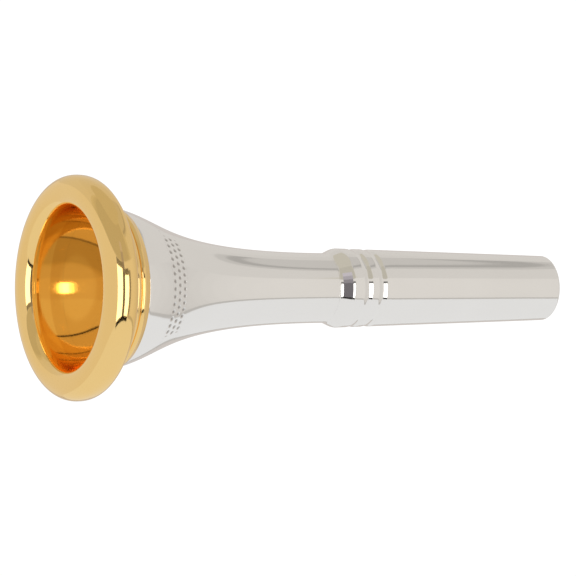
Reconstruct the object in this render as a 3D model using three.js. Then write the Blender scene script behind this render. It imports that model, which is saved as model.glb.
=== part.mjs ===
// French horn mouthpiece, built as three screwed pieces: a gold-plated rim, a silver-plated
// cup and a silver-plated shank. Millimetres, +Z up.
//
// The axis of turning is the X axis. The rim faces -X and the shank's tip points to +X.
// x = 0 is the gauge plane, where the taper meets the mouth of the instrument's receiver.
// Every outline below is a list of [station, radius]: station is the distance behind the
// foremost plane of the rim, so x = station - GAUGE_STATION.

import * as THREE from 'three';

// Whole mouthpiece
const LENGTH = 65;
const GAUGE_STATION = 43;
const SEGMENTS = 48;
const CURVE_STEPS = 7;

// Rim: a rounded bead with its crown at CROWN_RADIUS and its inner edge, the bite, at BITE_RADIUS,
// then a cove and a collar with two fine beads that ends flush with the cup
const RIM_RADIUS = 12.5;
const CROWN_RADIUS = 10.32;
const BITE_RADIUS = 8.9;
const BITE_STATION = 1.87;
const RIM_WIDEST = 1.9;
const FRONT_SQUARENESS = 2.2;
const BEAD_REAR = 3.45;
const REAR_WIDTH = 1.3;
const REAR_SQUARENESS = 2.5;
const COVE_START = 3.5;
const COVE_END = 4.3;
const COVE_DEPTH = 1.8;
const COLLAR_RADIUS = 9.2;
const COLLAR_BEADS = [
  { station: 4.75, halfWidth: 0.42, height: 0.28 },
  { station: 5.52, halfWidth: 0.34, height: 0.2 },
];
const COLLAR_BEAD_STEPS = 5;
const COLLAR_END_RADIUS = 8.96;
const COLLAR_CHAMFER = 0.05;
const RIM_SEAM = 6.4;

// Cup: funnel-shaped bowl inside, long cubic curves inside and outside
const THROAT_STATION = 31;
const THROAT_RADIUS = 2.3;
const BOWL_HANDLES = [[8, 8.6], [11, 3.2]];
const BOWL_STEPS = 22;
const BODY_RADIUS = 8.93;
const BODY_HANDLES = [[12.8, 7.4], [13.2, 4.1]];
const BODY_STEPS = 18;
const NECK_RADIUS = 4.015;

// Screwed joint between rim and cup: the cup's neck stands up inside the rim
const RIM_THREAD_RADIUS = 8.7;
const RIM_SHOULDER = 4.7;
const RIM_THREAD_RELIEF = { length: 0.3, depth: 0.12 };

// Screwed joint between cup and shank: the cup's tail goes into the shank's socket
const SHANK_SEAM = 33.9;
const TAIL_RADIUS = 3.2;
const TAIL_END = 42;
const TAIL_CHAMFER = 0.25;
const SOCKET_END = 42.25;

// Clearance of the threads across the axis, and of the seats along it
const THREAD_CLEARANCE = 0.05;
const SEAT_CLEARANCE = 0.05;

// Shank: step up from the neck, two turned grooves, then the 1 in 20 taper to the tip.
// The roundings are shares of the length of the wall that they blend.
const STEP_START = 33.95;
const STEP_END = 35.75;
const STEP_ROUNDING = 0.25;
const STEP_RADIUS = 4.57;
const GROOVES = [37.5, 39.5];
const GROOVE_HALF_WIDTH = 0.65;
const GROOVE_DEPTH = 0.13;
const GROOVE_ROUNDING = 0.3;
const WALL_STEPS = 8;
const TAPER = 1 / 20;
const TIP_ROUNDING = 0.3;
const BACKBORE_START_RADIUS = 2.35;
const BACKBORE_END_RADIUS = 3.1;

const GOLD_PLATE = { color: 0xe3b04b, roughness: 0.12, metalness: 1 };
const SILVER_PLATE = { color: 0xd9d9d6, roughness: 0.1, metalness: 1 };

// Radius of the tapered shank at a station
function taperRadius(station) {
  return STEP_RADIUS - (station - STEP_END) * TAPER / 2;
}

// Quarter of a superellipse about a centre, from the end of its along-axis half width to the
// end of its radial half width. Negative half widths mirror it.
function quarterBead(centre, alongAxis, radial, squareness) {
  const points = [];
  for (let i = 0; i <= CURVE_STEPS; i += 1) {
    const angle = (i / CURVE_STEPS) * Math.PI / 2;
    points.push([
      centre[0] + alongAxis * Math.cos(angle) ** (2 / squareness),
      centre[1] + radial * Math.sin(angle) ** (2 / squareness),
    ]);
  }
  return points;
}

// Part of an ellipse about a centre, between two angles measured from the tip's direction
function arc(centre, alongAxis, radial, from, to, steps = CURVE_STEPS) {
  const points = [];
  for (let i = 0; i <= steps; i += 1) {
    const angle = from + (to - from) * i / steps;
    points.push([centre[0] + alongAxis * Math.cos(angle), centre[1] + radial * Math.sin(angle)]);
  }
  return points;
}

// Cubic Bezier curve through the outline plane
function cubic(start, handles, end, steps) {
  const corners = [start, ...handles, end].map(([station, radius]) => new THREE.Vector2(station, radius));
  return new THREE.CubicBezierCurve(...corners).getPoints(steps).map((point) => [point.x, point.y]);
}

// The bowl's wall from the bite to the throat
function bowlWall() {
  return cubic([BITE_STATION, BITE_RADIUS], BOWL_HANDLES, [THROAT_STATION, THROAT_RADIUS], BOWL_STEPS);
}

// Radius of the bowl's wall at a station, between its two nearest points
function bowlRadius(station) {
  const wall = bowlWall();
  const next = wall.findIndex((point) => point[0] > station);
  const [before, after] = [wall[next - 1], wall[next]];
  const share = (station - before[0]) / (after[0] - before[0]);
  return before[1] + share * (after[1] - before[1]);
}

// Rise from 0 to 1 along a straight sloping wall with a round at each end
function wallRise(share, rounding) {
  const roundAt = (distance) => distance ** 2 / (2 * rounding);
  let rise = share - rounding / 2;
  if (share < rounding) rise = roundAt(share);
  if (share > 1 - rounding) rise = 1 - rounding - roundAt(1 - share);
  return rise / (1 - rounding);
}

// Step up from the neck to the shank
function stepUp() {
  return Array.from({ length: WALL_STEPS + 1 }, (_, i) => {
    const share = i / WALL_STEPS;
    const rise = (STEP_RADIUS - NECK_RADIUS) * wallRise(share, STEP_ROUNDING);
    return [STEP_START + (STEP_END - STEP_START) * share, NECK_RADIUS + rise];
  });
}

// A shallow groove in the shank, with two sloping walls that meet in a round
function groove(centre) {
  return Array.from({ length: 2 * WALL_STEPS + 1 }, (_, i) => {
    const side = i / WALL_STEPS - 1;
    const station = centre + GROOVE_HALF_WIDTH * side;
    return [station, taperRadius(station) - GROOVE_DEPTH * wallRise(1 - Math.abs(side), GROOVE_ROUNDING)];
  });
}

// A solid of revolution about the X axis, from an outline that runs once round its section
// with the material on its right, seen with +X to the right and the radius upwards
function turned(name, outline, finish) {
  const closed = [...outline, outline[0]];
  const points = closed.map(([station, radius]) => new THREE.Vector2(radius, station - GAUGE_STATION));
  const geometry = new THREE.LatheGeometry(points, SEGMENTS);
  geometry.rotateZ(-Math.PI / 2);
  const mesh = new THREE.Mesh(geometry, new THREE.MeshStandardMaterial(finish));
  mesh.name = name;
  return mesh;
}

// The rim's outside, from the bite round the bead, down the cove and along the collar
function rimOutside(seat) {
  const rearRadius = RIM_RADIUS - REAR_WIDTH;
  const cove = [COVE_END, COLLAR_RADIUS + COVE_DEPTH];
  return [
    ...quarterBead([BITE_STATION, CROWN_RADIUS], -BITE_STATION, BITE_RADIUS - CROWN_RADIUS,
      FRONT_SQUARENESS).reverse(),
    ...quarterBead([RIM_WIDEST, CROWN_RADIUS], -RIM_WIDEST, RIM_RADIUS - CROWN_RADIUS,
      FRONT_SQUARENESS).slice(1),
    ...quarterBead([RIM_WIDEST, rearRadius], BEAD_REAR - RIM_WIDEST, REAR_WIDTH,
      REAR_SQUARENESS).reverse().slice(1),
    ...arc(cove, COVE_END - COVE_START, COVE_DEPTH, -Math.PI, -Math.PI / 2),
    ...COLLAR_BEADS.flatMap(({ station, halfWidth, height }) => (
      arc([station, COLLAR_RADIUS], halfWidth, height, Math.PI, 0, COLLAR_BEAD_STEPS))),
    [seat - COLLAR_CHAMFER, COLLAR_END_RADIUS],
    [seat, COLLAR_END_RADIUS - COLLAR_CHAMFER],
  ];
}

// Rim: the outside, and the threaded bore that takes the cup's neck
function makeRim() {
  const boreRadius = RIM_THREAD_RADIUS + THREAD_CLEARANCE;
  const seat = RIM_SEAM - SEAT_CLEARANCE;
  return turned('rim', [
    ...rimOutside(seat),
    [seat, boreRadius],
    [RIM_SHOULDER, boreRadius],
    [RIM_SHOULDER, bowlRadius(RIM_SHOULDER)],
  ], GOLD_PLATE);
}

// Cup: threaded neck, outer body, threaded tail, throat and bowl
function makeCup() {
  const tip = RIM_SHOULDER + SEAT_CLEARANCE;
  const { length, depth } = RIM_THREAD_RELIEF;
  const shoulder = SHANK_SEAM - SEAT_CLEARANCE;
  const wall = bowlWall().filter((point) => point[0] > tip);
  return turned('cup', [
    [tip, bowlRadius(tip)],
    [tip, RIM_THREAD_RADIUS],
    [RIM_SEAM - length, RIM_THREAD_RADIUS],
    [RIM_SEAM - length, RIM_THREAD_RADIUS - depth],
    [RIM_SEAM, RIM_THREAD_RADIUS - depth],
    ...cubic([RIM_SEAM, BODY_RADIUS], BODY_HANDLES, [shoulder, NECK_RADIUS], BODY_STEPS),
    [shoulder, TAIL_RADIUS],
    [TAIL_END - TAIL_CHAMFER, TAIL_RADIUS],
    [TAIL_END, TAIL_RADIUS - TAIL_CHAMFER],
    [TAIL_END, THROAT_RADIUS],
    ...wall.reverse(),
  ], SILVER_PLATE);
}

// Shank: socket for the cup's tail, step, grooves, taper and backbore
function makeShank() {
  const socketRadius = TAIL_RADIUS + THREAD_CLEARANCE;
  const tipRadius = taperRadius(LENGTH);
  return turned('shank', [
    [SHANK_SEAM, NECK_RADIUS],
    ...stepUp(),
    ...GROOVES.flatMap(groove),
    ...arc([LENGTH - TIP_ROUNDING, tipRadius - TIP_ROUNDING], TIP_ROUNDING, TIP_ROUNDING, Math.PI / 2, 0),
    [LENGTH, BACKBORE_END_RADIUS],
    [SOCKET_END, BACKBORE_START_RADIUS],
    [SOCKET_END, socketRadius],
    [SHANK_SEAM, socketRadius],
  ], SILVER_PLATE);
}

const mouthpiece = new THREE.Group();
mouthpiece.add(makeRim(), makeCup(), makeShank());

export default mouthpiece;
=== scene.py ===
"""French horn mouthpiece: gold-plated screw rim, silver-plated cup with a gold bowl, silver-plated shank.

Outlines are given in millimetres as (station, radius): station is the distance behind the rim's
foremost plane, radius the distance from the axis, which is the X axis. Blender's own units are metres.
"""
import math

import bpy
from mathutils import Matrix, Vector


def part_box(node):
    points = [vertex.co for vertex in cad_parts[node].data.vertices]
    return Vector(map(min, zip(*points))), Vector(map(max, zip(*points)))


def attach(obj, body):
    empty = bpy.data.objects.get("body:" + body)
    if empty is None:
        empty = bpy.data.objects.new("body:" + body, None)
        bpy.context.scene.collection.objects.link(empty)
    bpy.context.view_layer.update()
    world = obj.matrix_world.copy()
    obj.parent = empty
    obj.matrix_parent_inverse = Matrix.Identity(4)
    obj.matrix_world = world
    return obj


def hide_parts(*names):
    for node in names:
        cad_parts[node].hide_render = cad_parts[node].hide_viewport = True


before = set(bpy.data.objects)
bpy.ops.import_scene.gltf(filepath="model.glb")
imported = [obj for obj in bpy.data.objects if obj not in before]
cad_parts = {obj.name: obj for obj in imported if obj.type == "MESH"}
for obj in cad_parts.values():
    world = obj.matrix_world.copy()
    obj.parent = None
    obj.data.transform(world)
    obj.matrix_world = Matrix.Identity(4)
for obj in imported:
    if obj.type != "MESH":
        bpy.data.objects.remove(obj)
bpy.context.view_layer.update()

MM = 0.001
CROWN_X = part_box("rim")[0].x / MM        # x of the rim's foremost plane
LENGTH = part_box("shank")[1].x / MM - CROWN_X
RIM_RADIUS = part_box("rim")[1].z / MM

# Rim
CROWN_RADIUS = 10.32
BITE_RADIUS = 8.9
BITE_STATION = 1.87
RIM_WIDEST = 1.9
BEAD_REAR = 3.45
REAR_WIDTH = 1.3
FRONT_SQUARENESS = 2.2
REAR_SQUARENESS = 2.5
COVE_START = 3.5
COVE_END = 4.3
COVE_DEPTH = 1.8
COLLAR_RADIUS = 9.2
COLLAR_BEADS = (4.75, 0.42, 0.28), (5.52, 0.34, 0.2)   # station, half width, height
COLLAR_END = 5.92
COLLAR_END_DIP = 0.06
COLLAR_END_RADIUS = 8.96
RIM_SEAM = 6.4

# Cup
THROAT_STATION = 31.0
THROAT_RADIUS = 2.3
BOWL_HANDLES = (8, 8.6), (11, 3.2)
BODY_RADIUS = 8.93
BODY_HANDLES = (12.8, 7.4), (13.2, 4.1)
NECK_RADIUS = 4.015
PLATING = 0.03                           # how far the wall is set back for its gold
PLATING_THICKNESS = 0.9 * PLATING

# Screwed joints
RIM_THREAD_RADIUS = 8.7
RIM_SHOULDER = 4.7
SHANK_SEAM = 33.9
TAIL_RADIUS = 3.2
TAIL_END = 42.0
SOCKET_END = 42.25
THREAD_CLEARANCE = 0.05
SEAT_CLEARANCE = 0.01
PITCH = 0.5
THREAD_DEPTH = 0.14
THREAD_FLANK = 1.35                      # above 1 the root of the thread is flat
POINTS_PER_PITCH = 8
RIM_THREAD_INSET = 0.3
NECK_THREAD_LEAD = 0.1
NECK_RELIEF_START = 0.25
NECK_THREAD_END = 0.35
TAIL_RELIEF_DEPTH = 0.1
TAIL_RELIEF_LENGTH = 0.4
TAIL_THREAD_START = 0.5
TAIL_THREAD_END = 0.4
SOCKET_THREAD_INSET = 0.4, 0.5           # from the socket's end and from its mouth
SOCKET_CHAMFER = 0.1

# Rounds on the edges
SEAT_ROUND = 0.05
BORE_ROUND = 0.04
TAIL_ROUND = 0.15
THROAT_ROUND = 0.1
SHANK_SEAM_ROUND = 0.03
BACKBORE_ROUND = 0.08

# Shank
STEP_START = 33.95
STEP_END = 35.75
STEP_RADIUS = 4.57
STEP_ROUNDING = 0.25
GROOVES = 37.5, 39.5
GROOVE_HALF_WIDTH = 0.65
GROOVE_DEPTH = 0.13
GROOVE_ROUNDING = 0.3
TAPER = 1 / 20
TIP_ROUNDING = 0.3
STEP_POINTS = 36
GROOVE_POINTS = 32
TAPER_STATIONS = 41, 44, 48, 52, 56, 60
BACKBORE_STATIONS = 60, 55, 50, 46
BACKBORE_START_RADIUS = 2.35
BACKBORE_END_RADIUS = 3.1

# Finish. Colours are linear. Behind the lip the bowl's wall is painted darker and deeper, as painted
# shade for the bowl's reflections of itself, and its gold gets thinner towards the throat.
LIP_START = 2.1
BOWL_SHADE_START = 3.2
BOWL_SHADE_BLEND = 0.15
WALL_RADII = 8.86 * MM, 8.92 * MM        # everything in the bowl is inside these
ROUGHNESS = 0.04, 0.1
GOLD_BRIGHT = 1.0, 0.72, 0.31
GOLD_DEEP = 0.99, 0.67, 0.25
SILVER_BRIGHT = 0.94, 0.93, 0.91
SILVER_DEEP = 0.90, 0.885, 0.86
TURNING_LINES = 10000, 12, 12            # noise scale along X, Y and Z
TURNING_DETAIL = 3.0
CLOUDS = 140, 140, 140
CLOUD_DETAIL = 4.0
BUMP_STRENGTH = 0.06
BUMP_DISTANCE = 0.00002
# Painted shade: the bowl's wall behind the lip is multiplied by this darker, deeper gold
BOWL_PAINTED_SHADE = 0.9, 0.84, 0.74
THINNING = 10.0, 20.0
THINNEST = 0.75
THIN_GOLD = 1.0, 0.87, 0.62
# Painted shade: the colour mixed into the engraved dots by their depth
DOT_PAINTED_SHADE = 0.42, 0.40, 0.38

# Engraved ornament round the cup
BAND_START = 9.9
BAND_END = 12.3
ORNAMENT_CENTRE = 0.04
ORNAMENT_REACH = 0.82
DOT_SPACING = 0.112
DOT_ROWS = 3
DOT_RADIUS = 0.32                        # share of the room that a dot has
DOT_DEPTH = 0.085
BAND_THICKNESS = 0.1
BAND_GAP = 0.004
BAND_ROWS = 60
BED_DEPTH = 0.11

# Fineness of the meshes
SEGMENTS = 192
BAND_SEGMENTS = 768
CURVE_POINTS = 400
BEAD_POINTS = 36
WIDEST_POINTS = 40
COVE_POINTS = 24
COLLAR_BEAD_POINTS = 28
TIP_POINTS = 12
SHARP_ANGLE = 32
# Of the points on a long curve, one in so many is kept
LIP_SKIP = 2
PLATING_SKIP = 4
BOWL_SKIP = 5
FRONT_SKIP = 6
REAR_SKIP = 4
NEARBY = 10                              # points from the end of the body to where it points


# ---- outlines -------------------------------------------------------------------------------

def arc(centre, along, radial, start, end, steps=16, exponent=2.0):
    """Part of an ellipse, or of a superellipse, between two angles in degrees."""
    points = []
    for i in range(steps + 1):
        angle = math.radians(start + (end - start) * i / steps)
        c, s = math.cos(angle), math.sin(angle)
        points.append((centre[0] + along * math.copysign(abs(c) ** (2 / exponent), c),
                       centre[1] + radial * math.copysign(abs(s) ** (2 / exponent), s)))
    return points


def cubic(start, handles, end, steps):
    """Cubic Bezier curve."""
    corners = (start, *handles, end)
    points = []
    for i in range(steps + 1):
        t = i / steps
        weights = (1 - t) ** 3, 3 * (1 - t) ** 2 * t, 3 * (1 - t) * t ** 2, t ** 3
        points.append(tuple(sum(w * c[axis] for w, c in zip(weights, corners)) for axis in (0, 1)))
    return points


def between(curve, low, high):
    """The stretch of a curve between two stations, cut exactly at both."""
    inside = [p for p in curve if low < p[0] < high]
    return [(low, radius_on(curve, low)), *inside, (high, radius_on(curve, high))]


def radius_on(curve, station):
    """Radius of a curve, given by its points in order of station, at one station."""
    for (s0, r0), (s1, r1) in zip(curve, curve[1:]):
        if s0 <= station <= s1:
            return r0 + (r1 - r0) * (station - s0) / (s1 - s0)
    raise ValueError(f"the curve does not reach station {station}")


def rounded(before, corner, after, radius, steps=4):
    """A small round on a corner between two straight stretches."""
    corner = Vector(corner)
    to_before = (Vector(before) - corner).normalized()
    to_after = (Vector(after) - corner).normalized()
    start, end = corner + to_before * radius, corner + to_after * radius
    points = []
    for i in range(steps + 1):
        t = i / steps
        point = start * (1 - t) ** 2 + corner * (2 * t * (1 - t)) + end * t ** 2
        points.append((point.x, point.y))
    return points


def ramp(share, rounding):
    """Rise from 0 to 1 along a straight wall with a round at each end; rounding is a share of its run."""
    if share < rounding:
        rise = share ** 2 / (2 * rounding)
    elif share <= 1 - rounding:
        rise = share - rounding / 2
    else:
        rise = 1 - rounding - (1 - share) ** 2 / (2 * rounding)
    return rise / (1 - rounding)


def taper_radius(station):
    return STEP_RADIUS - (station - STEP_END) * TAPER / 2


BOWL = cubic((BITE_STATION, BITE_RADIUS), BOWL_HANDLES, (THROAT_STATION, THROAT_RADIUS), CURVE_POINTS)
BODY = cubic((RIM_SEAM, BODY_RADIUS), BODY_HANDLES, (SHANK_SEAM, NECK_RADIUS), CURVE_POINTS)


def thinned(curve, steps):
    """Every so many points of a curve, with its last point kept."""
    return [*curve[:-1:steps], curve[-1]]


def threaded(start, end, radius, inside):
    """Rows of a thread between two stations: a function of the angle, so that the rows climb."""
    rows = max(4, round(abs(end - start) / PITCH * POINTS_PER_PITCH))
    run_out = PITCH / abs(end - start)

    def at(angle):
        points = []
        for i in range(rows + 1):
            share = i / rows
            station = start + (end - start) * share
            phase = (station / PITCH - angle / math.tau) % 1
            ridge = 1 - abs(2 * phase - 1)
            cut = min(1, THREAD_FLANK * (1 - ridge)) * min(1, share / run_out, (1 - share) / run_out)
            points.append((station, radius + (THREAD_DEPTH if inside else -THREAD_DEPTH) * cut))
        return points
    return at


# ---- meshes ---------------------------------------------------------------------------------

def turned(name, outline, body, segments=SEGMENTS):
    """A closed solid of revolution about the X axis. The outline is a list of points, and of
    functions that give the points at an angle."""
    def column(angle):
        points = []
        for part in outline:
            if callable(part):
                points.extend(part(angle))
            else:
                points.append(part)
        return points

    columns = [column(math.tau * j / segments) for j in range(segments)]
    rows = len(columns[0])
    vertices = []
    for j, points in enumerate(columns):
        angle = math.tau * j / segments
        for station, radius in points:
            vertices.append(((station + CROWN_X) * MM,
                             -radius * math.cos(angle) * MM,
                             radius * math.sin(angle) * MM))
    faces = []
    for j in range(segments):
        here, there = j * rows, (j + 1) % segments * rows
        for i in range(rows):
            k = (i + 1) % rows
            faces.append((here + i, here + k, there + k, there + i))
    mesh = bpy.data.meshes.new(name)
    mesh.from_pydata(vertices, [], faces)
    mesh.polygons.foreach_set("use_smooth", [True] * len(faces))
    mesh.set_sharp_from_angle(angle=math.radians(SHARP_ANGLE))
    mesh.update()
    piece = bpy.data.objects.new(name, mesh)
    bpy.context.scene.collection.objects.link(piece)
    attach(piece, body)
    return piece


def under_plating(start, end):
    """The wall of the bowl between two stations, set back to take its plating."""
    return [(s, r + PLATING) for s, r in thinned(between(BOWL, start, end), LIP_SKIP)]


def make_rim(material):
    bore = RIM_THREAD_RADIUS + THREAD_CLEARANCE
    seat = RIM_SEAM - SEAT_CLEARANCE
    inner = CROWN_RADIUS - BITE_RADIUS
    outer = RIM_RADIUS - CROWN_RADIUS
    rear = BEAD_REAR - RIM_WIDEST
    rear_radius = RIM_RADIUS - REAR_WIDTH
    bite, widest = (BITE_STATION, CROWN_RADIUS), (RIM_WIDEST, CROWN_RADIUS)
    outline = [
        *reversed(under_plating(LIP_START, RIM_SHOULDER)),
        *reversed(thinned(between(BOWL, BITE_STATION, LIP_START), LIP_SKIP)),
        *arc(bite, -BITE_STATION, -inner, 90, 0, BEAD_POINTS, FRONT_SQUARENESS)[1:],
        *arc(widest, -RIM_WIDEST, outer, 0, 90, WIDEST_POINTS, FRONT_SQUARENESS)[1:],
        *arc((RIM_WIDEST, rear_radius), rear, REAR_WIDTH, 90, 0, BEAD_POINTS, REAR_SQUARENESS)[1:],
        *arc((COVE_END, COLLAR_RADIUS + COVE_DEPTH), COVE_END - COVE_START, COVE_DEPTH,
             180, 270, COVE_POINTS),
    ]
    for station, half_width, height in COLLAR_BEADS:
        outline += arc((station, COLLAR_RADIUS), half_width, height, 180, 0, COLLAR_BEAD_POINTS)
    outline += [
        (COLLAR_END, COLLAR_RADIUS - COLLAR_END_DIP),
        *rounded((COLLAR_END, COLLAR_RADIUS), (seat, COLLAR_END_RADIUS), (seat, bore), SEAT_ROUND),
        *rounded((seat, COLLAR_RADIUS), (seat, bore), (RIM_SHOULDER, bore), BORE_ROUND),
        threaded(seat - RIM_THREAD_INSET, RIM_SHOULDER + RIM_THREAD_INSET, bore, inside=True),
        (RIM_SHOULDER, bore),
    ]
    rim = turned("rim_gold", outline, "rim")
    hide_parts("rim")
    rim.data.materials.append(material)
    return rim


def make_cup(material):
    tip = RIM_SHOULDER + SEAT_CLEARANCE
    seat = SHANK_SEAM - SEAT_CLEARANCE
    bowl = between([(s, r + PLATING) for s, r in BOWL], tip, THROAT_STATION)
    body = between(BODY, RIM_SEAM, seat)
    relief = RIM_THREAD_RADIUS - THREAD_DEPTH
    front = between(body, RIM_SEAM, BAND_START)
    rear = between(body, BAND_END, seat)
    tail_relief = TAIL_RADIUS - TAIL_RELIEF_DEPTH
    tail_thread_end = TAIL_END - TAIL_THREAD_END
    outline = [
        (tip, RIM_THREAD_RADIUS),
        threaded(tip + NECK_THREAD_LEAD, RIM_SEAM - NECK_THREAD_END, RIM_THREAD_RADIUS, inside=False),
        (RIM_SEAM - NECK_RELIEF_START, relief),
        (RIM_SEAM, relief),
        *rounded((RIM_SEAM, relief), (RIM_SEAM, BODY_RADIUS), front[NEARBY], SEAT_ROUND),
        *thinned(front, FRONT_SKIP)[1:],
        (BAND_START, radius_on(BODY, BAND_START) - BED_DEPTH),
        (BAND_END, radius_on(BODY, BAND_END) - BED_DEPTH),
        *thinned(rear, REAR_SKIP),
        *rounded(rear[-NEARBY], (seat, NECK_RADIUS), (seat, TAIL_RADIUS), SEAT_ROUND)[1:],
        (seat, tail_relief),
        (seat + TAIL_RELIEF_LENGTH, tail_relief),
        threaded(seat + TAIL_THREAD_START, tail_thread_end, TAIL_RADIUS, inside=False),
        *rounded((tail_thread_end, tail_relief), (TAIL_END, TAIL_RADIUS - TAIL_ROUND),
                 (TAIL_END, THROAT_RADIUS), TAIL_ROUND),
        *rounded((TAIL_END, TAIL_RADIUS), (TAIL_END, THROAT_RADIUS), (THROAT_STATION, THROAT_RADIUS),
                 THROAT_ROUND),
        *reversed(thinned(bowl, BOWL_SKIP)),
    ]
    cup = turned("cup_body", outline, "cup")
    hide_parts("cup")
    cup.data.materials.append(material)
    return cup


def make_plating(name, body, start, end, material):
    """The gold on the wall of the bowl between two stations, as a thin shell."""
    wall = thinned(between(BOWL, start, end), PLATING_SKIP)
    back = [(s, r + PLATING_THICKNESS) for s, r in reversed(wall)]
    plating = turned(name, list(reversed([*wall, *back])), body)
    plating.data.materials.append(material)
    return plating


def make_bowl_plating(material):
    """The bowl's gold, on the rim and on the cup."""
    tip = RIM_SHOULDER + SEAT_CLEARANCE
    return [make_plating("lip_plating", "rim", LIP_START, RIM_SHOULDER, material),
            make_plating("bowl_plating", "cup", tip, THROAT_STATION, material)]


def step_up():
    """The wall that rises from the neck to the shank."""
    shares = [i / STEP_POINTS for i in range(STEP_POINTS + 1)]
    return [(STEP_START + (STEP_END - STEP_START) * share,
             NECK_RADIUS + (STEP_RADIUS - NECK_RADIUS) * ramp(share, STEP_ROUNDING)) for share in shares]


def groove(centre):
    """A shallow groove in the shank, with two sloping walls that meet in a round."""
    points = []
    for i in range(GROOVE_POINTS + 1):
        share = i / GROOVE_POINTS * 2 - 1
        station = centre + share * GROOVE_HALF_WIDTH
        depth = GROOVE_DEPTH * ramp(1 - abs(share), GROOVE_ROUNDING)
        points.append((station, taper_radius(station) - depth))
    return points


def backbore_radius(station):
    share = (station - SOCKET_END) / (LENGTH - SOCKET_END)
    return BACKBORE_START_RADIUS + (BACKBORE_END_RADIUS - BACKBORE_START_RADIUS) * share


def make_shank(material):
    socket = TAIL_RADIUS + THREAD_CLEARANCE
    tip_radius = taper_radius(LENGTH)
    wall = step_up()
    outline = [
        *rounded((SHANK_SEAM, socket), (SHANK_SEAM, NECK_RADIUS), wall[0], SHANK_SEAM_ROUND),
        *wall,
        *groove(GROOVES[0]),
        *groove(GROOVES[1]),
        *[(s, taper_radius(s)) for s in TAPER_STATIONS],
        *arc((LENGTH - TIP_ROUNDING, tip_radius - TIP_ROUNDING), TIP_ROUNDING, TIP_ROUNDING,
             90, 0, TIP_POINTS),
        *rounded((LENGTH, tip_radius - TIP_ROUNDING), (LENGTH, BACKBORE_END_RADIUS),
                 (SOCKET_END, BACKBORE_START_RADIUS), BACKBORE_ROUND),
        *[(s, backbore_radius(s)) for s in BACKBORE_STATIONS],
        (SOCKET_END, BACKBORE_START_RADIUS),
        (SOCKET_END, socket),
        threaded(SOCKET_END - SOCKET_THREAD_INSET[0], SHANK_SEAM + SOCKET_THREAD_INSET[1], socket,
                 inside=True),
        (SHANK_SEAM + SOCKET_CHAMFER, socket),
        (SHANK_SEAM, socket + SOCKET_CHAMFER),
    ]
    shank = turned("shank_silver", outline, "shank")
    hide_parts("shank")
    shank.data.materials.append(material)
    return shank


def ornament_cut(share, angle):
    """Depth, from 0 to 1, of the punched ornament: staggered rows of dots on the side towards -Y."""
    turn = (angle + math.pi) % math.tau - math.pi - ORNAMENT_CENTRE
    if abs(turn) > ORNAMENT_REACH:
        return 0.0
    row = min(DOT_ROWS - 1, int(share * DOT_ROWS))
    across = share * DOT_ROWS - row - 0.5
    along = (turn / DOT_SPACING + 0.5 * (row % 2)) % 1 - 0.5
    return max(0.0, 1 - (across ** 2 + along ** 2) / DOT_RADIUS ** 2)


def make_band(material):
    """The strip of the cup's surface that carries the engraved ornament, flush with the body."""
    start, length = BAND_START + BAND_GAP, BAND_END - BAND_START - 2 * BAND_GAP
    shares = [i / BAND_ROWS for i in range(BAND_ROWS + 1)]
    surface = [(start + length * share, radius_on(BODY, start + length * share)) for share in shares]
    back = [(station, radius - BAND_THICKNESS) for station, radius in (surface[-1], surface[0])]

    def at(angle):
        cuts = [DOT_DEPTH * ornament_cut(share, angle) for share in shares]
        return [*[(station, radius - cut) for (station, radius), cut in zip(surface, cuts)], *back]

    band = turned("engraved_band", [at], "cup", segments=BAND_SEGMENTS)
    # Depth of each dot, kept for the painted shade in the band's material
    marks = band.data.attributes.new("cut", "FLOAT", "POINT")
    for j in range(BAND_SEGMENTS):
        for i, share in enumerate(shares):
            cut = ornament_cut(share, math.tau * j / BAND_SEGMENTS)
            marks.data[j * (len(shares) + len(back)) + i].value = cut
    band.data.materials.append(material)
    return band


# ---- materials ------------------------------------------------------------------------------

def new_material(name):
    material = bpy.data.materials.new(name)
    material.use_nodes = True
    nodes, links = material.node_tree.nodes, material.node_tree.links
    return material, nodes, links, nodes["Principled BSDF"]


def noise(nodes, links, where, scale, detail):
    """Noise texture stretched by a scale along each axis, in object space."""
    stretch = nodes.new("ShaderNodeMapping")
    stretch.inputs["Scale"].default_value = scale
    links.new(where.outputs["Object"], stretch.inputs["Vector"])
    texture = nodes.new("ShaderNodeTexNoise")
    texture.inputs["Scale"].default_value = 1.0
    texture.inputs["Detail"].default_value = detail
    links.new(stretch.outputs["Vector"], texture.inputs["Vector"])
    return texture.outputs["Fac"]


def remapped(nodes, links, value, source, target):
    """A value mapped from one range to another and kept within it."""
    node = nodes.new("ShaderNodeMapRange")
    node.inputs["From Min"].default_value, node.inputs["From Max"].default_value = source
    node.inputs["To Min"].default_value, node.inputs["To Max"].default_value = target
    links.new(value, node.inputs["Value"])
    return node.outputs["Result"]


def mixed(nodes, links, share, first, second, blend="MIX"):
    """Two colours mixed by a share; either one may be a socket or plain values."""
    node = nodes.new("ShaderNodeMixRGB")
    node.blend_type = blend
    links.new(share, node.inputs["Fac"])
    for socket, colour in ((node.inputs["Color1"], first), (node.inputs["Color2"], second)):
        if isinstance(colour, tuple):
            socket.default_value = (*colour, 1)
        else:
            links.new(colour, socket)
    return node.outputs["Color"]


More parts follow.
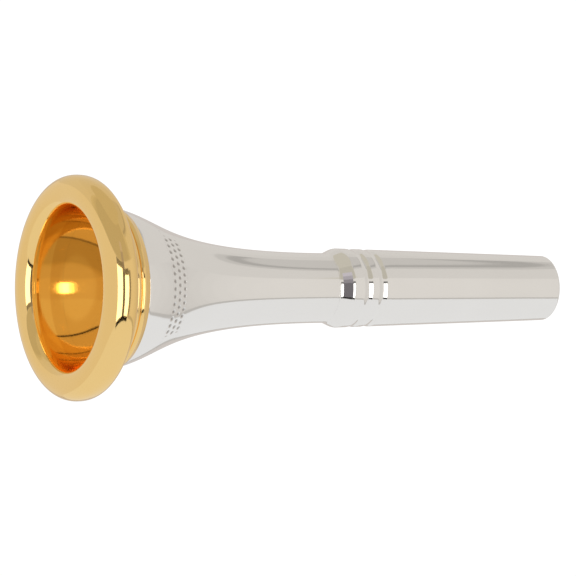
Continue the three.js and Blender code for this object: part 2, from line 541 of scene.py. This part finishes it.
def bowl_shade_and_thinning(nodes, links, where):
    """Mask of the painted shade, 1 on the wall of the bowl behind its lip, and how thin its gold has
    become.
    """
    across = nodes.new("ShaderNodeVectorMath")
    across.operation = "MULTIPLY"
    across.inputs[1].default_value = (0, 1, 1)
    links.new(where.outputs["Object"], across.inputs[0])
    radius = nodes.new("ShaderNodeVectorMath")
    radius.operation = "LENGTH"
    links.new(across.outputs["Vector"], radius.inputs[0])
    parts = nodes.new("ShaderNodeSeparateXYZ")
    links.new(where.outputs["Object"], parts.inputs[0])
    within = remapped(nodes, links, radius.outputs["Value"], WALL_RADII, (1, 0))
    start = (BOWL_SHADE_START + CROWN_X) * MM
    behind = remapped(nodes, links, parts.outputs["X"], (start, start + BOWL_SHADE_BLEND * MM), (0, 1))
    both = nodes.new("ShaderNodeMath")
    both.operation = "MULTIPLY"
    links.new(within, both.inputs[0])
    links.new(behind, both.inputs[1])
    thinning = remapped(nodes, links, parts.outputs["X"],
                        [(station + CROWN_X) * MM for station in THINNING], (0, THINNEST))
    return both.outputs["Value"], thinning


def plated(name, bright, deep, bowl_shade_colour=None, engraved=False):
    """Polished plate: fine turning lines round the axis, and soft cloudy changes of tone."""
    material, nodes, links, shader = new_material(name)
    shader.inputs["Metallic"].default_value = 1.0
    where = nodes.new("ShaderNodeTexCoord")
    turning = noise(nodes, links, where, TURNING_LINES, TURNING_DETAIL)
    clouds = noise(nodes, links, where, CLOUDS, CLOUD_DETAIL)
    tone = mixed(nodes, links, clouds, deep, bright)
    if bowl_shade_colour:
        # Painted shade: the wall of the bowl behind its lip is darkened by multiplying in a deeper gold
        wall, thinning = bowl_shade_and_thinning(nodes, links, where)
        tone = mixed(nodes, links, wall, tone, bowl_shade_colour, "MULTIPLY")
        tone = mixed(nodes, links, thinning, tone, THIN_GOLD)
    if engraved:
        # Painted shade: the engraved dots are darkened by their depth
        cut = nodes.new("ShaderNodeAttribute")
        cut.attribute_name = "cut"
        tone = mixed(nodes, links, cut.outputs["Fac"], tone, DOT_PAINTED_SHADE)
    links.new(tone, shader.inputs["Base Color"])
    links.new(remapped(nodes, links, turning, (0, 1), ROUGHNESS), shader.inputs["Roughness"])
    bump = nodes.new("ShaderNodeBump")
    bump.inputs["Strength"].default_value = BUMP_STRENGTH
    bump.inputs["Distance"].default_value = BUMP_DISTANCE
    links.new(turning, bump.inputs["Height"])
    links.new(bump.outputs["Normal"], shader.inputs["Normal"])
    return material


def light_material(name, colour, strength, clear=False):
    """A plain glow, which hides what is behind it unless it is clear."""
    material = bpy.data.materials.new(name)
    material.use_nodes = True
    nodes, links = material.node_tree.nodes, material.node_tree.links
    nodes.remove(nodes["Principled BSDF"])
    glow = nodes.new("ShaderNodeEmission")
    glow.inputs["Color"].default_value = (*colour, 1)
    glow.inputs["Strength"].default_value = strength
    surface = glow.outputs["Emission"]
    if clear:
        both = nodes.new("ShaderNodeAddShader")
        links.new(surface, both.inputs[0])
        links.new(nodes.new("ShaderNodeBsdfTransparent").outputs["BSDF"], both.inputs[1])
        surface = both.outputs["Shader"]
    links.new(surface, nodes["Material Output"].inputs["Surface"])
    return material


# ---- studio ---------------------------------------------------------------------------------

VIEW_AZIMUTH = -31.39
VIEW_DISTANCE = 0.38515
AIM = Vector((-0.013665, 0, 0.0))
LENS = 210.4
SENSOR_WIDTH = 36
CLIP = 0.01, 50
BOUNCES = 16                             # the bowl and the bore reflect themselves many times
WORLD_BRIGHTNESS = 1.08
FLOOR_SIZE = 4.0
FLOOR_HEIGHT = -0.16
FLOOR_WHITE = 0.96, 0.96, 0.96, 1
FLOOR_ROUGHNESS = 0.9

NEUTRAL = 1.0, 1.0, 1.0
WARM = 1.0, 0.96, 0.91
DUSK = 1.0, 0.93, 1.0
ROSE = 1.0, 0.93, 0.88
CREAM = 1.0, 0.94, 0.8

# Light tent: name, azimuths, elevations, colour and brightness of each panel
TENT_RADIUS = 0.5
PANEL_STEP = 4                           # degrees from one point of a panel to the next
TENT = [
    ("tent_floor", (-180, 180), (-90, -27.5), NEUTRAL, 0.80),
    ("tent_floor_edge", (25, 180), (-27.5, -24.5), WARM, 0.52),
    ("tent_low", (-180, 25), (-27.5, 24), WARM, 0.75),
    ("tent_low_near", (25, 42), (-24.5, 24), WARM, 0.75),
    ("tent_low_side", (84, 180), (-24.5, 24), ROSE, 0.63),
    ("tent_middle", (-180, 180), (24, 45), WARM, 0.68),
    ("tent_seam_soft", (25, 110), (45, 48), WARM, 0.58),
    ("tent_seam", (25, 110), (48, 51), WARM, 0.43),
    ("tent_high", (25, 110), (51, 62), WARM, 0.58),
    ("tent_side", (110, 385), (45, 62), WARM, 0.66),
    ("tent_top", (-180, 180), (62, 90), CREAM, 0.58),
]
# Between tent_low_near and tent_low_side the brightness falls in six steps
TENT += [(f"tent_low_{i}", (42 + 7 * i, 49 + 7 * i), (-24.5, 24), WARM, 0.74 - 0.018 * i)
         for i in range(6)]

# Ceiling in front of the tent, darker in its middle; each panel hangs a little inside the last
CEILING = [
    ("ceiling_rim", (-125, 38), (25, 62), CREAM, 0.62),
    ("ceiling_edge", (-120, 34), (25, 62), CREAM, 0.57),
    ("ceiling_front", (-115, 30), (25, 62), CREAM, 0.52),
]
CEILING_SHARES = 0.99, 0.985, 0.98       # of the tent's radius

# Two bright windows with the dark shape of the camera between them. Here azimuth 0 is the camera's.
FRONT_SHARE = 0.97
FRONT = [
    ("window_frame", (53, 59), (-26, 16), WARM, 0.3),
    ("window_left", (-24, 12), (-26, 18), NEUTRAL, 1.5),
    ("window_right", (28, 53), (-26, 12), NEUTRAL, 1.5),
    ("camera_side", (12, 28), (-26, 14), DUSK, 0.17),
    ("camera_head_low", (12, 28), (14, 24), DUSK, 0.28),
    ("camera_head", (12, 28), (24, 34), DUSK, 0.42),
    ("camera_head_high", (12, 28), (34, 44), DUSK, 0.56),
    ("window_head_left", (-24, 12), (18, 24), WARM, 0.25),
    ("window_head_right", (28, 53), (12, 18), WARM, 0.2),
    ("window_sill", (-24, 53), (-31, -26), WARM, 0.02),
]
WINDOWS = "window_left", "window_right"

# Small lamp on the far side of the rim, in millimetres like the outlines
RIM_LAMP_STATIONS = -9.2, -6.5
RIM_LAMP_DISTANCE = 18
RIM_LAMP_HALF_HEIGHT = 5.2
RIM_LAMP_STRENGTH = 8.0


def direction(azimuth, elevation):
    """Unit vector from the object: azimuth 0 is -Y, 90 is +X."""
    a, e = math.radians(azimuth), math.radians(elevation)
    return Vector((math.sin(a) * math.cos(e), -math.cos(a) * math.cos(e), math.sin(e)))


def make_camera():
    data = bpy.data.cameras.new("camera")
    data.lens = LENS
    data.sensor_width = SENSOR_WIDTH
    data.clip_start, data.clip_end = CLIP
    camera = bpy.data.objects.new("camera", data)
    back = direction(VIEW_AZIMUTH, 0)
    camera.location = AIM + back * VIEW_DISTANCE
    camera.rotation_mode = "QUATERNION"
    camera.rotation_quaternion = (-back).to_track_quat("-Z", "Y")
    bpy.context.scene.collection.objects.link(camera)
    bpy.context.scene.camera = camera


def glowing_sheet(name, vertices, faces, colour, strength, clear=False):
    """A sheet of light, seen only in the metal's reflections."""
    mesh = bpy.data.meshes.new(name)
    mesh.from_pydata(vertices, [], faces)
    mesh.materials.append(light_material(name, colour, strength, clear))
    sheet = bpy.data.objects.new(name, mesh)
    bpy.context.scene.collection.objects.link(sheet)
    sheet.visible_camera = False
    sheet.visible_diffuse = False
    sheet.visible_shadow = False
    sheet.visible_transmission = False
    return sheet


def tent_panel(name, azimuths, elevations, colour, strength, radius, clear=False):
    """A patch of the light tent, between two azimuths and two elevations."""
    across = max(1, round((azimuths[1] - azimuths[0]) / PANEL_STEP))
    up = max(1, round((elevations[1] - elevations[0]) / PANEL_STEP))
    vertices, faces = [], []
    for i in range(up + 1):
        for j in range(across + 1):
            azimuth = azimuths[0] + (azimuths[1] - azimuths[0]) * j / across
            elevation = elevations[0] + (elevations[1] - elevations[0]) * i / up
            vertices.append(AIM + direction(azimuth, elevation) * radius)
    for i in range(up):
        for j in range(across):
            k = i * (across + 1) + j
            faces.append((k, k + 1, k + across + 2, k + across + 1))
    return glowing_sheet(name, vertices, faces, colour, strength, clear)


def link_light(sheet, pieces, state):
    """Let a sheet shine on some pieces only, or on all but those pieces."""
    receivers = bpy.data.collections.new(sheet.name + "_receivers")
    for piece in pieces:
        receivers.objects.link(piece)
    for entry in receivers.collection_objects:
        entry.light_linking.link_state = state
    sheet.light_linking.receiver_collection = receivers


def make_rim_lamp(lip):
    """Small lamp beside the rim on its far side, which shines on the bowl's lip only."""
    left, right = (RIM_LAMP_STATIONS[0] + CROWN_X) * MM, (RIM_LAMP_STATIONS[1] + CROWN_X) * MM
    away, half = RIM_LAMP_DISTANCE * MM, RIM_LAMP_HALF_HEIGHT * MM
    corners = [(left, away, -half), (right, away, -half), (right, away, half), (left, away, half)]
    lamp = glowing_sheet("rim_lamp", corners, [(0, 1, 2, 3)], NEUTRAL, RIM_LAMP_STRENGTH, clear=True)
    link_light(lamp, [lip], "INCLUDE")


def make_tent():
    """The tent round the object, and the ceiling in front of it."""
    for panel in TENT:
        tent_panel(*panel, TENT_RADIUS)
    for panel, share in zip(CEILING, CEILING_SHARES):
        tent_panel(*panel, TENT_RADIUS * share)


def make_front(bowl):
    """The windows, which don't shine on the bowl, and the dark panels round them."""
    for name, azimuths, *rest in FRONT:
        azimuths = [azimuth + VIEW_AZIMUTH for azimuth in azimuths]
        panel = tent_panel(name, azimuths, *rest, TENT_RADIUS * FRONT_SHARE, clear=name in WINDOWS)
        if name in WINDOWS:
            link_light(panel, bowl, "EXCLUDE")


def make_floor():
    """Plain pale floor, well below the object."""
    mesh = bpy.data.meshes.new("floor")
    corners = [(x * FLOOR_SIZE, y * FLOOR_SIZE, FLOOR_HEIGHT)
               for x, y in ((-1, -1), (1, -1), (1, 1), (-1, 1))]
    mesh.from_pydata(corners, [], [(0, 1, 2, 3)])
    material, nodes, links, shader = new_material("floor_white")
    shader.inputs["Base Color"].default_value = FLOOR_WHITE
    shader.inputs["Roughness"].default_value = FLOOR_ROUGHNESS
    shader.inputs["Specular IOR Level"].default_value = 0.0
    mesh.materials.append(material)
    floor = bpy.data.objects.new("floor", mesh)
    bpy.context.scene.collection.objects.link(floor)
    floor.visible_glossy = False


def make_world():
    world = bpy.data.worlds.new("studio")
    world.use_nodes = True
    background = world.node_tree.nodes["Background"]
    background.inputs["Color"].default_value = (1, 1, 1, 1)
    background.inputs["Strength"].default_value = WORLD_BRIGHTNESS
    bpy.context.scene.world = world


def main():
    scene = bpy.context.scene
    scene.view_settings.view_transform = "Standard"
    scene.cycles.max_bounces = BOUNCES
    scene.cycles.glossy_bounces = BOUNCES
    make_camera()
    make_world()
    make_floor()
    gold = plated("gold_plate", GOLD_BRIGHT, GOLD_DEEP, BOWL_PAINTED_SHADE)
    silver = plated("silver_plate", SILVER_BRIGHT, SILVER_DEEP)
    make_rim(gold)
    make_cup(silver)
    bowl = make_bowl_plating(gold)
    make_band(plated("engraved_silver", SILVER_BRIGHT, SILVER_DEEP, engraved=True))
    make_shank(silver)
    make_tent()
    make_front(bowl)
    make_rim_lamp(lip=bowl[0])


main()
